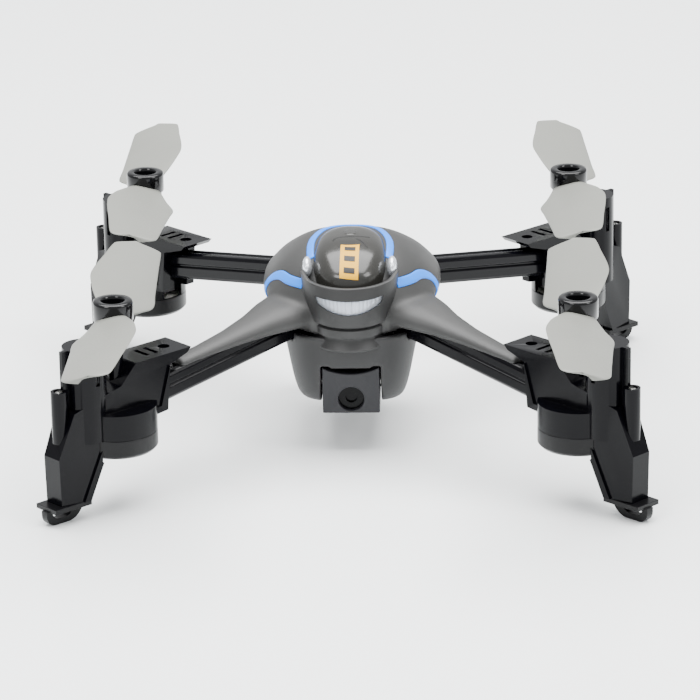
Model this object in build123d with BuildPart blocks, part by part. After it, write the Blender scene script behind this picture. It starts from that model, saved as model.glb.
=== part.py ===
# Mini palm drone: a four-arm quadcopter with geared brushed motors.
#
# Frame: millimetres, +Z up, -Y is the nose (camera side), +X the drone's left-to-right
# axis seen from the nose.  The origin lies on the ground under the middle of the four
# motor pods.  Every corner is built in its own local frame: s runs outward along the arm
# from the propeller shaft, w runs sideways and z stays vertical.
from build123d import *
from collections import namedtuple
from math import atan2, cos, degrees, radians, sin
import os

os.makedirs("parts", exist_ok=True)

# ------------------------------------------------------------------ driving dimensions
MOTOR_SPACING_X = 111.0
MOTOR_SPACING_Y = 106.0
HUB_TOP_Z = 51.8
BLADE_Z = 47.6

# gear train: module 0.3, a 9-tooth pinion drives a 54-tooth wheel
MODULE = 0.3
WHEEL_TEETH = 54
PINION_TEETH = 9
GEAR_CENTRES = MODULE * (WHEEL_TEETH + PINION_TEETH) / 2
TOOTH_ADDENDUM = 0.21
TOOTH_DEDENDUM = 0.36
TOOTH_WIDTH_ROOT = 0.42
TOOTH_WIDTH_TIP = 0.20
WHEEL_Z = 16.4
WHEEL_THICK = 2.2

SHAFT_R = 0.75
MOTOR_SHAFT_R = 0.40
RUNNING_GAP = 0.05

# motor and the tower that holds it
MOTOR_R = 4.2
MOTOR_BOTTOM_Z = 21.0
MOTOR_LENGTH = 20.0
TOWER_R = 5.2
TOWER_TOP_Z = 42.6

# motor pod
POD_TIP_S = -19.8
DECK_Z = 36.4
POD_HALF_W = 4.9
LEG_HALF_W = 2.9
LEG_OUTER_S = 20.0
LEG_BOTTOM_Z = 4.9
HOUSING_R = 9.8
HOUSING_BOTTOM_Z = 19.2
CHAMBER_R = 9.0
CHAMBER_TOP_Z = 20.4
CAP_BOTTOM_Z = 14.4
BOSS_S = 17.3
BOSS_R = 2.05
BOSS_TOP_Z = 33.0
SCREW_HEAD_R = 1.25
SCREW_SHANK_R = 0.7

# arms
ARM_ROOT_S = -58.0
ARM_END_S = -8.0
ARM_W = 5.8
ARM_H = 7.0
ARM_CHANNEL_W = 3.2
ARM_CHANNEL_H = 4.2

# body: half width, nose y, tail y and corner radius at each height
Station = namedtuple("Station", "z half_x nose tail radius")
BELLY = Station(12.0, 12.2, -14.5, 20.0, 6.0)
SPLIT = Station(31.0, 17.5, -22.8, 28.0, 14.0)
LOWER_STATIONS = (
    BELLY,
    Station(15.0, 13.6, -19.5, 24.0, 8.0),
    Station(23.0, 15.5, -22.4, 27.0, 11.0),
    SPLIT,
)
UPPER_STATIONS = (
    SPLIT,
    Station(38.0, 22.4, -21.8, 28.0, 18.0),
    Station(43.0, 19.6, -20.6, 24.0, 16.5),
    Station(47.3, 15.3, -17.5, 16.5, 12.5),
    Station(50.3, 10.6, -12.5, 9.5, 8.5),
    Station(52.0, 5.5, -6.5, 4.5, 4.5),
)
WALL = 1.5

# camera bay
PIVOT_Y = -13.2
PIVOT_Z = 17.0
BLOCK_HALF_W = 7.1
BAY_HALF_W = 7.45
BAY_R = 11.0
BAY_BACK_Y = -4.4
BLOCK_FRONT_Y = -21.8
SADDLE_R = 15.3
LENS_Z = 14.6
LENS_R = 3.2

# battery pack that slides out of the tail
PACK_HALF_W = 9.0
PACK_BOTTOM_Z = 14.3
PACK_TOP_Z = 21.9
PACK_NOSE_Y = -1.2
PACK_TAIL_Y = 22.4
PACK_GAP = 0.3

BAY_ROOF_Z = 29.0
TUNNEL_ROOF_Z = 23.4

ARM_ANGLE = degrees(atan2(MOTOR_SPACING_Y, MOTOR_SPACING_X))

# spin +1 is counter-clockwise seen from above; lean turns the resting blades about the
# shaft; root_z and end_z are the arm's centre heights at the body and at the pod
Corner = namedtuple("Corner", "name side end spin lean root_z end_z")
CORNERS = (
    Corner("front_right", 1, -1, -1, 4.5, 33.0, 26.0),
    Corner("front_left", -1, -1, 1, -6.7, 33.0, 26.0),
    Corner("rear_left", -1, 1, -1, 4.5, 36.8, 28.4),
    Corner("rear_right", 1, 1, 1, -2.0, 36.8, 28.4),
)


# ---------------------------------------------------------------------- corner frames
def outward(corner):
    """Unit vector from the body to the pod, in plan."""
    angle = radians(ARM_ANGLE)
    return Vector(corner.side * cos(angle), corner.end * sin(angle), 0)


def hub_centre(corner):
    """The propeller shaft's foot on the ground plane."""
    return Vector(corner.side * MOTOR_SPACING_X / 2, corner.end * MOTOR_SPACING_Y / 2, 0)


def level(corner, z):
    """Horizontal plane at height z with its x axis along the arm."""
    return Plane(origin=hub_centre(corner) + Vector(0, 0, z), x_dir=outward(corner), z_dir=(0, 0, 1))


def upright(corner):
    """Vertical plane through the shaft: x is s, y is z."""
    axis = outward(corner)
    return Plane(origin=hub_centre(corner), x_dir=axis, z_dir=(axis.Y, -axis.X, 0))


def across(corner, s, z):
    """Plane square to the arm at distance s, centred at height z."""
    axis = outward(corner)
    centre = hub_centre(corner) + axis * s + Vector(0, 0, z)
    return Plane(origin=centre, x_dir=(-axis.Y, axis.X, 0), z_dir=axis)


def save(builder, name):
    """Label a finished piece and write it as its own STEP file."""
    builder.part.label = name
    export_step(builder.part, f"parts/{name}.step")


# ------------------------------------------------------------------------ body forms
def body_form(stations, grow=0.0, drop=0.0):
    """Smooth body skin through the stations, grown sideways and lowered above the split."""
    with BuildPart() as form:
        for station in stations:
            height = station.z - (drop if station.z > SPLIT.z else 0.0)
            with BuildSketch(Plane.XY.offset(height)):
                with Locations((0, (station.nose + station.tail) / 2)):
                    RectangleRounded(
                        2 * (station.half_x + grow),
                        station.tail - station.nose + 2 * grow,
                        station.radius + grow,
                    )
        loft()
    return form.part


VISOR_CENTRE_Y = -16.0
VISOR_RINGS = ((31.2, 8.9, 9.3), (36.0, 10.2, 11.0), (41.0, 11.4, 11.6), (48.6, 12.2, 9.6))


def visor_form(grow=0.0):
    """Upright bowl of the face mask, through elliptical rings (z, half width, half depth)."""
    with BuildPart() as form:
        for height, half_x, half_y in VISOR_RINGS:
            with BuildSketch(Plane.XY.offset(height)):
                with Locations((0, VISOR_CENTRE_Y)):
                    Ellipse(half_x + grow, half_y + grow)
        loft()
    return form.part


CANOPY_CENTRE_Y = -9.5
CANOPY_RINGS = ((42.5, 9.6, 14.6), (47.0, 9.5, 13.8), (50.5, 8.5, 11.8), (52.5, 6.0, 8.2), (53.3, 2.4, 3.4))


def canopy_form(grow=0.0):
    """Cockpit dome through elliptical rings (z, half width, half length)."""
    with BuildPart() as form:
        for height, half_x, half_y in CANOPY_RINGS:
            with BuildSketch(Plane.XY.offset(height + min(grow, 0.0))):
                with Locations((0, CANOPY_CENTRE_Y)):
                    Ellipse(half_x + grow, half_y + grow)
        loft()
    return form.part


def arm_form(corner, grow=0.0):
    """Tapering straight arm between the body and the pod."""
    with BuildPart() as form:
        for s, z in ((ARM_ROOT_S, corner.root_z), (ARM_END_S, corner.end_z)):
            with BuildSketch(across(corner, s, z)):
                RectangleRounded(ARM_W + 2 * grow, ARM_H + 2 * grow, 1.2)
        loft()
    return form.part


LOWER_SKIN = body_form(LOWER_STATIONS)
LOWER_ROOM = body_form(LOWER_STATIONS, grow=-WALL)
UPPER_SKIN = body_form(UPPER_STATIONS)
UPPER_ROOM = body_form(UPPER_STATIONS, grow=-WALL, drop=1.4)
UPPER_TRIM = body_form(UPPER_STATIONS, grow=0.45, drop=-0.35)
VISOR_SKIN = visor_form()
CANOPY_SKIN = canopy_form()
ARM_SOCKETS = [arm_form(corner, grow=0.1) for corner in CORNERS]


# ------------------------------------------------------------------------ gear train
def toothed_outline(plane, teeth):
    """Spur gear outline with straight-flanked teeth, one of them pointing along x."""
    pitch_r = MODULE * teeth / 2
    root_r = pitch_r - TOOTH_DEDENDUM
    tip_r = pitch_r + TOOTH_ADDENDUM
    with BuildSketch() as tooth:
        with BuildLine():
            Polyline(
                (root_r - 0.15, -TOOTH_WIDTH_ROOT / 2),
                (tip_r, -TOOTH_WIDTH_TIP / 2),
                (tip_r, TOOTH_WIDTH_TIP / 2),
                (root_r - 0.15, TOOTH_WIDTH_ROOT / 2),
                close=True,
            )
        make_face()
    with BuildSketch(plane) as outline:
        Circle(root_r)
        with PolarLocations(0, teeth):
            add(tooth.sketch)
    return outline.sketch


def make_main_gear(corner):
    """54-tooth wheel with a short collar, pressed on the propeller shaft."""
    with BuildPart() as gear:
        extrude(toothed_outline(level(corner, WHEEL_Z), WHEEL_TEETH), amount=WHEEL_THICK)
        with BuildSketch(level(corner, WHEEL_Z + WHEEL_THICK)):
            Circle(2.2)
        extrude(amount=1.2)
        with BuildSketch(level(corner, WHEEL_Z)):
            with PolarLocations(5.0, 6):
                Circle(1.3)
        extrude(amount=WHEEL_THICK, mode=Mode.SUBTRACT)
        with BuildSketch(level(corner, WHEEL_Z)):
            Circle(SHAFT_R)
        extrude(amount=WHEEL_THICK + 1.2, mode=Mode.SUBTRACT)
    return gear


def make_pinion(corner):
    """9-tooth brass pinion with the motor's spindle standing in it."""
    centre = hub_centre(corner) + outward(corner) * GEAR_CENTRES
    base = Plane(origin=centre + Vector(0, 0, WHEEL_Z - 0.2), x_dir=outward(corner), z_dir=(0, 0, 1))
    with BuildPart() as pinion:
        extrude(toothed_outline(base, PINION_TEETH), amount=WHEEL_THICK + 0.4)
        with BuildSketch(base):
            Circle(MOTOR_SHAFT_R)
        extrude(amount=7.6)
    return pinion


def make_motor(corner):
    """8.4 mm brushed can motor with a stepped nose and an end bell."""
    bottom = MOTOR_BOTTOM_Z
    with BuildPart() as motor:
        with BuildSketch(level(corner, bottom)):
            with Locations((GEAR_CENTRES, 0)):
                Circle(MOTOR_R)
        extrude(amount=MOTOR_LENGTH)
        with BuildSketch(level(corner, bottom)):
            with Locations((GEAR_CENTRES, 0)):
                Circle(MOTOR_SHAFT_R + RUNNING_GAP)
        extrude(amount=3.5, mode=Mode.SUBTRACT)
        chamfer(motor.edges().filter_by(GeomType.CIRCLE).group_by(SortBy.RADIUS)[-1], length=0.35)
    return motor


def make_shaft(corner):
    """1.5 mm steel shaft from the gear cap up into the propeller hub."""
    with BuildPart() as shaft:
        with BuildSketch(level(corner, CAP_BOTTOM_Z + 0.8)):
            Circle(SHAFT_R)
        extrude(amount=HUB_TOP_Z - 2.2 - CAP_BOTTOM_Z - 0.8)
    return shaft


# ------------------------------------------------------------------------- propeller
# blade sections from root to tip: radius, trailing and leading edge offsets (c, z)
BladeSection = namedtuple("BladeSection", "r back back_z front front_z thick")
BLADE_SECTIONS = (
    BladeSection(3.6, -3.9, -0.7, 4.1, 1.1, 1.5),
    BladeSection(9.0, -5.4, -1.8, 6.4, 2.2, 1.1),
    BladeSection(14.0, -7.0, -2.5, 8.1, 3.0, 0.9),
    BladeSection(22.0, -6.0, -1.9, 9.8, 3.6, 0.8),
    BladeSection(38.0, -3.9, -0.3, 9.5, 3.3, 0.7),
    BladeSection(48.0, -2.6, 0.5, 9.1, 3.0, 0.6),
    BladeSection(49.8, -1.7, 0.7, 7.3, 2.5, 0.5),
)


SLEEVE_R = 4.2
HUB_CAP_R = 4.85
HUB_RECESS_R = 2.7


def make_propeller(corner):
    """Two broad paddle blades on a sleeve that fits round the shaft."""
    rest = 90.0 + corner.lean
    hub = hub_centre(corner)
    with BuildPart() as prop:
        for turn in (rest, rest + 180.0):
            along = Vector(cos(radians(turn)), sin(radians(turn)), 0)
            ahead = Vector(-along.Y, along.X, 0) * corner.spin
            for station in BLADE_SECTIONS:
                plane = Plane(
                    origin=hub + along * station.r + Vector(0, 0, BLADE_Z),
                    x_dir=ahead,
                    z_dir=ahead.cross(Vector(0, 0, 1)),
                )
                half = station.thick / 2
                middle = (station.back + station.front) / 2
                crown = (station.back_z + station.front_z) / 2 + 0.5
                with BuildSketch(plane):
                    with BuildLine():
                        Polyline(
                            (station.back, station.back_z - half * 0.5),
                            (middle, crown - half),
                            (station.front, station.front_z - half * 0.5),
                            (station.front, station.front_z + half * 0.5),
                            (middle, crown + half),
                            (station.back, station.back_z + half * 0.5),
                            close=True,
                        )
                    make_face()
            loft(ruled=True)
        with BuildSketch(Plane.XY.offset(BLADE_Z - 2.2)):
            with Locations((hub.X, hub.Y)):
                Circle(SLEEVE_R)
        extrude(amount=4.0)
        with BuildSketch(Plane.XY.offset(BLADE_Z - 2.2)):
            with Locations((hub.X, hub.Y)):
                Circle(SHAFT_R)
        extrude(amount=6.0, mode=Mode.SUBTRACT)
    return prop


def make_hub_cap(corner, blades):
    """Round ring with an open recess that crowns the blades and skirts their roots."""
    hub = hub_centre(corner)
    with BuildPart() as cap:
        with BuildSketch(Plane.XY.offset(BLADE_Z - 1.0)):
            with Locations((hub.X, hub.Y)):
                Circle(HUB_CAP_R)
        extrude(amount=HUB_TOP_Z - BLADE_Z + 1.0)
        fillet(cap.edges().group_by(Axis.Z)[-1], radius=0.6)
        with BuildSketch(Plane.XY.offset(BLADE_Z - 2.0)):
            with Locations((hub.X, hub.Y)):
                Circle(SLEEVE_R)
        extrude(amount=3.8, mode=Mode.SUBTRACT)
        with BuildSketch(Plane.XY.offset(BLADE_Z + 1.8)):
            with Locations((hub.X, hub.Y)):
                Circle(HUB_RECESS_R)
        extrude(amount=HUB_TOP_Z, mode=Mode.SUBTRACT)
        add(blades.part, mode=Mode.SUBTRACT)
    return cap


# ----------------------------------------------------------------------- motor pod
# side outline of the pod plates (s, z), clockwise from the wedge tip
POD_SIDE = (
    (POD_TIP_S, DECK_Z),
    (-18.6, 35.2),
    (-12.9, 33.4),
    (-9.6, 23.8),
    (6.2, 22.2),
    (14.0, LEG_BOTTOM_Z),
    (LEG_OUTER_S, LEG_BOTTOM_Z),
    (LEG_OUTER_S + 0.3, 16.8),
    (15.6, 27.5),
    (7.5, 30.3),
    (2.2, 31.7),
    (-1.6, 35.5),
    (-2.6, DECK_Z),
)
# raised rim that edges the plates below and inboard
POD_RIM = (
    (-12.6, 33.4),
    (-11.6, 22.4),
    (5.2, 20.6),
    (12.2, LEG_BOTTOM_Z),
    (14.0, LEG_BOTTOM_Z),
    (6.2, 22.2),
    (-9.6, 23.8),
)


def plan_wedge(grow):
    """Plan outline of the pod: wide over the motor, narrow at the leg."""
    half = POD_HALF_W + grow
    leg = LEG_HALF_W + grow
    right = ((POD_TIP_S - 1, half), (4.0, half), (LEG_OUTER_S, leg), (LEG_OUTER_S + 2, leg))
    left = tuple((s, -w) for s, w in reversed(right))
    return right + left


def plate_block(corner, outline, grow):
    """Side outline of the pod cut to the plan wedge."""
    with BuildPart() as block:
        with BuildSketch(upright(corner)):
            with BuildLine():
                Polyline(*outline, close=True)
            make_face()
        extrude(amount=POD_HALF_W * 2, both=True)
        with BuildSketch(level(corner, 0)):
            with BuildLine():
                Polyline(*plan_wedge(grow), close=True)
            make_face()
        extrude(amount=DECK_Z + 2, mode=Mode.INTERSECT)
    return block.part


def bore(corner, s, radius, low, high, mode=Mode.SUBTRACT):
    """Round post or hole on the pod's middle line, between two heights."""
    with BuildSketch(level(corner, low)) as outline:
        with Locations((s, 0)):
            Circle(radius)
    extrude(outline.sketch, amount=high - low, mode=mode)


def slab(corner, s, w, low, high, mode=Mode.SUBTRACT, middle=0.0):
    """Rectangular block or slot between two s values, w wide, between two heights."""
    with BuildSketch(level(corner, low)) as outline:
        with Locations(((s[0] + s[1]) / 2, middle)):
            Rectangle(s[1] - s[0], w)
    extrude(outline.sketch, amount=high - low, mode=mode)


def make_pod(corner):
    """Moulded pod: deck, side plates, gear housing roof, motor tower and leg."""
    plates = plate_block(corner, POD_SIDE, 0.0)
    rim = plate_block(corner, POD_RIM, 0.6)
    with BuildPart() as pod:
        add(plates)
        add(rim)
        bore(corner, 0.0, HOUSING_R, HOUSING_BOTTOM_Z, 25.5, Mode.ADD)
        bore(corner, GEAR_CENTRES, TOWER_R, HOUSING_BOTTOM_Z, TOWER_TOP_Z, Mode.ADD)
        slab(corner, (13.6, 16.4), 1.1, 28.0, TOWER_TOP_Z, Mode.ADD)
        bore(corner, BOSS_S, BOSS_R, 20.0, BOSS_TOP_Z, Mode.ADD)
        bore(corner, 0.0, 2.0, 30.0, 39.5, Mode.ADD)
        # room for the gear, its cap, the pinion, the motor and the arm's end
        bore(corner, 0.0, HOUSING_R + 0.1, CAP_BOTTOM_Z - 0.6, HOUSING_BOTTOM_Z)
        bore(corner, 0.0, CHAMBER_R, HOUSING_BOTTOM_Z, CHAMBER_TOP_Z)
        bore(corner, GEAR_CENTRES, 2.2, WHEEL_Z - 1.0, MOTOR_BOTTOM_Z)
        bore(corner, GEAR_CENTRES, MOTOR_R + RUNNING_GAP, MOTOR_BOTTOM_Z, MOTOR_BOTTOM_Z + MOTOR_LENGTH)
        bore(corner, GEAR_CENTRES, 1.3, MOTOR_BOTTOM_Z + MOTOR_LENGTH, TOWER_TOP_Z)
        slab(corner, (POD_TIP_S - 2, ARM_END_S), ARM_W + 0.2, 18.0, 33.3)
        bore(corner, 0.0, SHAFT_R + RUNNING_GAP, CHAMBER_TOP_Z, 40.0)
        # deck screw recess and cooling slots, wire slot in the tower, screw hole in the boss
        bore(corner, -15.2, 1.45, DECK_Z - 1.0, DECK_Z)
        for slot_s in (-11.6, -8.8):
            slab(corner, (slot_s, slot_s + 1.1), 5.0, DECK_Z - 1.6, DECK_Z)
        slab(corner, (GEAR_CENTRES - 0.6, GEAR_CENTRES + 0.6), 3.0, 33.5, 40.0, middle=TOWER_R)
        slab(corner, (GEAR_CENTRES - 0.6, GEAR_CENTRES + 0.6), 3.0, 33.5, 40.0, middle=-TOWER_R)
        bore(corner, BOSS_S, SCREW_HEAD_R + 0.1, BOSS_TOP_Z - 1.2, BOSS_TOP_Z)
        bore(corner, BOSS_S, SCREW_SHANK_R + 0.05, BOSS_TOP_Z - 7.0, BOSS_TOP_Z - 1.2)
    return pod


def make_gear_cap(corner):
    """Shallow domed cup that closes the gear housing from below."""
    with BuildPart() as cap:
        bore(corner, 0.0, HOUSING_R, CAP_BOTTOM_Z, HOUSING_BOTTOM_Z, Mode.ADD)
        rims = cap.edges().filter_by(GeomType.CIRCLE)
        chamfer(rims.group_by(Axis.Z)[0], length=0.9)
        bore(corner, 0.0, CHAMBER_R, CAP_BOTTOM_Z + 1.4, HOUSING_BOTTOM_Z)
        bore(corner, GEAR_CENTRES, 2.3, WHEEL_Z - 0.6, HOUSING_BOTTOM_Z)
        bore(corner, 0.0, SHAFT_R + RUNNING_GAP, CAP_BOTTOM_Z + 0.8, HOUSING_BOTTOM_Z)
    return cap


def make_foot(corner):
    """Collar under the leg with a D-shaped loop that stands on the ground."""
    with BuildPart() as foot:
        slab(corner, (11.6, 22.6), 2 * LEG_HALF_W + 1.8, LEG_BOTTOM_Z - 1.2, LEG_BOTTOM_Z, Mode.ADD)
        with BuildSketch(upright(corner)):
            with BuildLine():
                Line((12.0, LEG_BOTTOM_Z - 1.0), (23.2, LEG_BOTTOM_Z - 1.0))
                Line((23.2, LEG_BOTTOM_Z - 1.0), (23.2, 2.6))
                ThreePointArc((23.2, 2.6), (22.4, 0.8), (20.6, 0.0))
                Line((20.6, 0.0), (16.6, 0.0))
                ThreePointArc((16.6, 0.0), (13.6, 1.2), (12.0, LEG_BOTTOM_Z - 1.0))
            make_face()
            with BuildLine(mode=Mode.PRIVATE) as hole:
                Line((15.4, LEG_BOTTOM_Z - 1.2), (21.5, LEG_BOTTOM_Z - 1.2))
                ThreePointArc((21.5, LEG_BOTTOM_Z - 1.2), (20.8, 2.0), (19.4, 1.5))
                Line((19.4, 1.5), (17.4, 1.5))
                ThreePointArc((17.4, 1.5), (15.9, 2.3), (15.4, LEG_BOTTOM_Z - 1.2))
            make_face(hole.edges(), mode=Mode.SUBTRACT)
        extrude(amount=1.1, both=True)
    return foot


def make_arm(corner):
    """Hollow arm with a screw post under its outer end."""
    with BuildPart() as arm:
        add(arm_form(corner))
        for s, z in ((ARM_ROOT_S - 0.1, corner.root_z), (ARM_END_S + 0.1, corner.end_z)):
            with BuildSketch(across(corner, s, z)):
                Rectangle(ARM_CHANNEL_W, ARM_CHANNEL_H)
        loft(mode=Mode.SUBTRACT)
        bore(corner, -16.8, 1.6, corner.end_z - 4.6, corner.end_z - ARM_H / 2 + 1.8, Mode.ADD)
    return arm


def make_arm_cover(corner):
    """Wedge fairing that carries the upper shell's surface out along a front arm."""
    socket = arm_form(corner, grow=0.05)
    lift = (corner.root_z - corner.end_z) / (ARM_END_S - ARM_ROOT_S)
    with BuildPart() as cover:
        for s, width, height in ((-56.0, 13.0, 4.4), (-46.0, 8.6, 3.0), (-36.0, 6.8, 1.6), (-19.5, 6.0, 1.0)):
            top = corner.root_z - lift * (s - ARM_ROOT_S) + ARM_H / 2 + height
            base = top - height - 2.4
            with BuildSketch(across(corner, s, (top + base) / 2)):
                Trapezoid(width, top - base, 68, 68)
        loft()
        add(socket, mode=Mode.SUBTRACT)
        add(UPPER_TRIM, mode=Mode.SUBTRACT)
        add(LOWER_SKIN, mode=Mode.SUBTRACT)
    return cover


for corner in CORNERS:
    propeller = make_propeller(corner)
    save(propeller, f"prop_{corner.name}")
    save(make_hub_cap(corner, propeller), f"hub_cap_{corner.name}")
    save(make_shaft(corner), f"prop_shaft_{corner.name}")
    save(make_main_gear(corner), f"main_gear_{corner.name}")
    save(make_pinion(corner), f"pinion_{corner.name}")
    save(make_motor(corner), f"motor_{corner.name}")
    save(make_pod(corner), f"pod_{corner.name}")
    save(make_gear_cap(corner), f"gear_cap_{corner.name}")
    save(make_foot(corner), f"foot_{corner.name}")
    save(make_arm(corner), f"arm_{corner.name}")

for corner in CORNERS[:2]:
    save(make_arm_cover(corner), f"arm_cover_{corner.name}")

# ------------------------------------------------------------------------ pod screws
with BuildPart() as pod_screws:
    for corner in CORNERS:
        bore(corner, BOSS_S, SCREW_HEAD_R, BOSS_TOP_Z - 1.15, BOSS_TOP_Z - 0.2, Mode.ADD)
        bore(corner, BOSS_S, SCREW_SHANK_R, BOSS_TOP_Z - 6.5, BOSS_TOP_Z - 1.15, Mode.ADD)
save(pod_screws, "pod_screws")

# ----------------------------------------------------------------------- lower shell
with BuildPart(mode=Mode.PRIVATE) as lower_room:
    add(LOWER_ROOM)
    with Locations((0, 0, BELLY.z)):
        Box(80, 80, 2 * 1.7, mode=Mode.SUBTRACT)
    with Locations((0, -22.0, 20.0)):
        Box(2 * (BAY_HALF_W + 1.6), 40.0, 2 * (BAY_ROOF_Z - 20.0), mode=Mode.SUBTRACT)
    with Locations((0, 12.0, 18.0)):
        Box(2 * (PACK_HALF_W + PACK_GAP + 1.2), 30.0, 2 * (TUNNEL_ROOF_Z - 18.0), mode=Mode.SUBTRACT)

with BuildPart() as lower_shell:
    add(LOWER_SKIN)
    add(lower_room.part, mode=Mode.SUBTRACT)
    # camera bay: round roof about the tilt axis, open in front and below
    with BuildSketch(Plane.YZ.offset(-BAY_HALF_W)):
        with Locations((PIVOT_Y, PIVOT_Z)):
            Circle(BAY_R)
            with Locations((-BAY_R, -BAY_R)):
                Rectangle(2 * BAY_R, 2 * BAY_R)
            with Locations((0, -BAY_R)):
                Rectangle(2 * BAY_R, 2 * BAY_R)
        with Locations((BAY_BACK_Y + BAY_R, PIVOT_Z)):
            Rectangle(2 * BAY_R, 4 * BAY_R, mode=Mode.SUBTRACT)
    extrude(amount=2 * BAY_HALF_W, mode=Mode.SUBTRACT)
    # tilt pin bores through both cheeks
    with BuildSketch(Plane.YZ.offset(-BAY_HALF_W - 1.2)):
        with Locations((PIVOT_Y, PIVOT_Z)):
            Circle(1.0 + RUNNING_GAP)
    extrude(amount=2 * (BAY_HALF_W + 1.2), mode=Mode.SUBTRACT)
    # battery tunnel, open at the tail
    with BuildSketch(Plane.XZ.offset(-PACK_NOSE_Y + 0.4)):
        with Locations((0, (PACK_BOTTOM_Z + PACK_TOP_Z) / 2)):
            Rectangle(2 * (PACK_HALF_W + PACK_GAP), PACK_TOP_Z - PACK_BOTTOM_Z + 2 * PACK_GAP)
    extrude(amount=-40.0, mode=Mode.SUBTRACT)
    for socket in ARM_SOCKETS:
        add(socket, mode=Mode.SUBTRACT)
save(lower_shell, "lower_shell")

# ----------------------------------------------------------------------- upper shell
BUTTON_Y = 15.5
BUTTON_R = 2.6
BUTTON_TOP_Z = 47.8
BUTTON_BASE_Z = 43.8

with BuildPart() as upper_shell:
    add(UPPER_SKIN)
    add(UPPER_ROOM, mode=Mode.SUBTRACT)
    add(visor_form(0.1), mode=Mode.SUBTRACT)
    add(canopy_form(0.15), mode=Mode.SUBTRACT)
    with BuildSketch(Plane.XY.offset(40)):
        with Locations((0, BUTTON_Y)):
            Circle(BUTTON_R + 0.15)
    extrude(amount=15, mode=Mode.SUBTRACT)
    for socket in ARM_SOCKETS:
        add(socket, mode=Mode.SUBTRACT)
save(upper_shell, "upper_shell")

# --------------------------------------------------------------- face mask and lamp
WINDOW = ((-8.5, 42.7), (0.0, 42.2), (8.5, 42.7), (7.7, 41.0), (0.0, 38.5), (-7.7, 41.0))


def window_prism(shrink):
    """Smile-shaped lamp window, seen from the nose, as a deep prism."""
    with BuildPart() as prism:
        with BuildSketch(Plane.XZ.offset(10)):
            with BuildLine():
                ThreePointArc(WINDOW[0], WINDOW[1], WINDOW[2])
                Line(WINDOW[2], WINDOW[3])
                ThreePointArc(WINDOW[3], WINDOW[4], WINDOW[5])
                Line(WINDOW[5], WINDOW[0])
            make_face()
            if shrink:
                offset(amount=-shrink, kind=Kind.INTERSECTION, mode=Mode.REPLACE)
        extrude(amount=25)
    return prism.part


with BuildPart() as front_visor:
    add(VISOR_SKIN)
    add(visor_form(-1.3), mode=Mode.SUBTRACT)
    # the rim dips at the nose, and the mask stops where the canopy begins
    with BuildSketch(Plane.YZ.offset(-20)):
        with BuildLine():
            Polyline((-40, 44.3), (-26, 45.6), (-17, 48.2), (-10.5, 49.5), (-10.5, 60), (-40, 60), close=True)
        make_face()
    extrude(amount=40, mode=Mode.SUBTRACT)
    with Locations((0, VISOR_CENTRE_Y + 23.2, 40)):
        Box(60, 40, 60, mode=Mode.SUBTRACT)
    add(window_prism(0.0), mode=Mode.SUBTRACT)
    add(canopy_form(0.1), mode=Mode.SUBTRACT)
    for socket in ARM_SOCKETS:
        add(socket, mode=Mode.SUBTRACT)
save(front_visor, "front_visor")

with BuildPart() as headlight_lens:
    add(visor_form(-0.15))
    add(visor_form(-1.1), mode=Mode.SUBTRACT)
    add(window_prism(0.08), mode=Mode.INTERSECT)
save(headlight_lens, "headlight_lens")

with BuildPart() as headlight_board:
    with BuildSketch(Plane.XZ.offset(22.6)):
        with Locations((0, 39.3)):
            RectangleRounded(13.0, 4.8, 0.8)
    extrude(amount=-1.0)
    with BuildSketch(Plane.XZ.offset(22.6)):
        with Locations((-4.2, 40.0), (4.2, 40.0)):
            Rectangle(2.2, 1.6)
    extrude(amount=0.7)
save(headlight_board, "headlight_board")

# ---------------------------------------------------------------------------- canopy
with BuildPart() as canopy:
    add(CANOPY_SKIN)
    add(canopy_form(-1.2), mode=Mode.SUBTRACT)
save(canopy, "canopy")

# ----------------------------------------------------------------------- blue trims
with BuildPart(mode=Mode.PRIVATE) as trim_skin:
    add(UPPER_TRIM)
    add(UPPER_SKIN, mode=Mode.SUBTRACT)
    add(visor_form(0.15), mode=Mode.SUBTRACT)
    add(canopy_form(0.2), mode=Mode.SUBTRACT)

with BuildPart() as trim_front:
    with BuildSketch(Plane.XZ.offset(3.0)):
        with BuildLine():
            Spline((10.6, 44.6), (15.0, 45.4), (18.6, 43.0), (20.8, 39.4), (21.2, 35.6))
            Line((21.2, 35.6), (25.0, 35.6))
            Line((25.0, 35.6), (25.0, 41.0))
            Spline((25.0, 41.0), (19.6, 46.4), (15.4, 47.6), (10.6, 46.6))
            Line((10.6, 46.6), (10.6, 44.6))
        make_face()
        mirror(about=Plane.YZ)
    extrude(amount=25)
    add(trim_skin.part, mode=Mode.INTERSECT)
save(trim_front, "trim_front")

with BuildPart() as trim_rear:
    with BuildSketch(Plane.XY.offset(44)):
        with Locations((0, CANOPY_CENTRE_Y)):
            Ellipse(11.6, 17.0)
            Ellipse(8.4, 14.2, mode=Mode.SUBTRACT)
        with Locations((0, -22)):
            Rectangle(40, 40, mode=Mode.SUBTRACT)
    extrude(amount=12)
    add(trim_skin.part, mode=Mode.INTERSECT)
save(trim_rear, "trim_rear")

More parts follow.
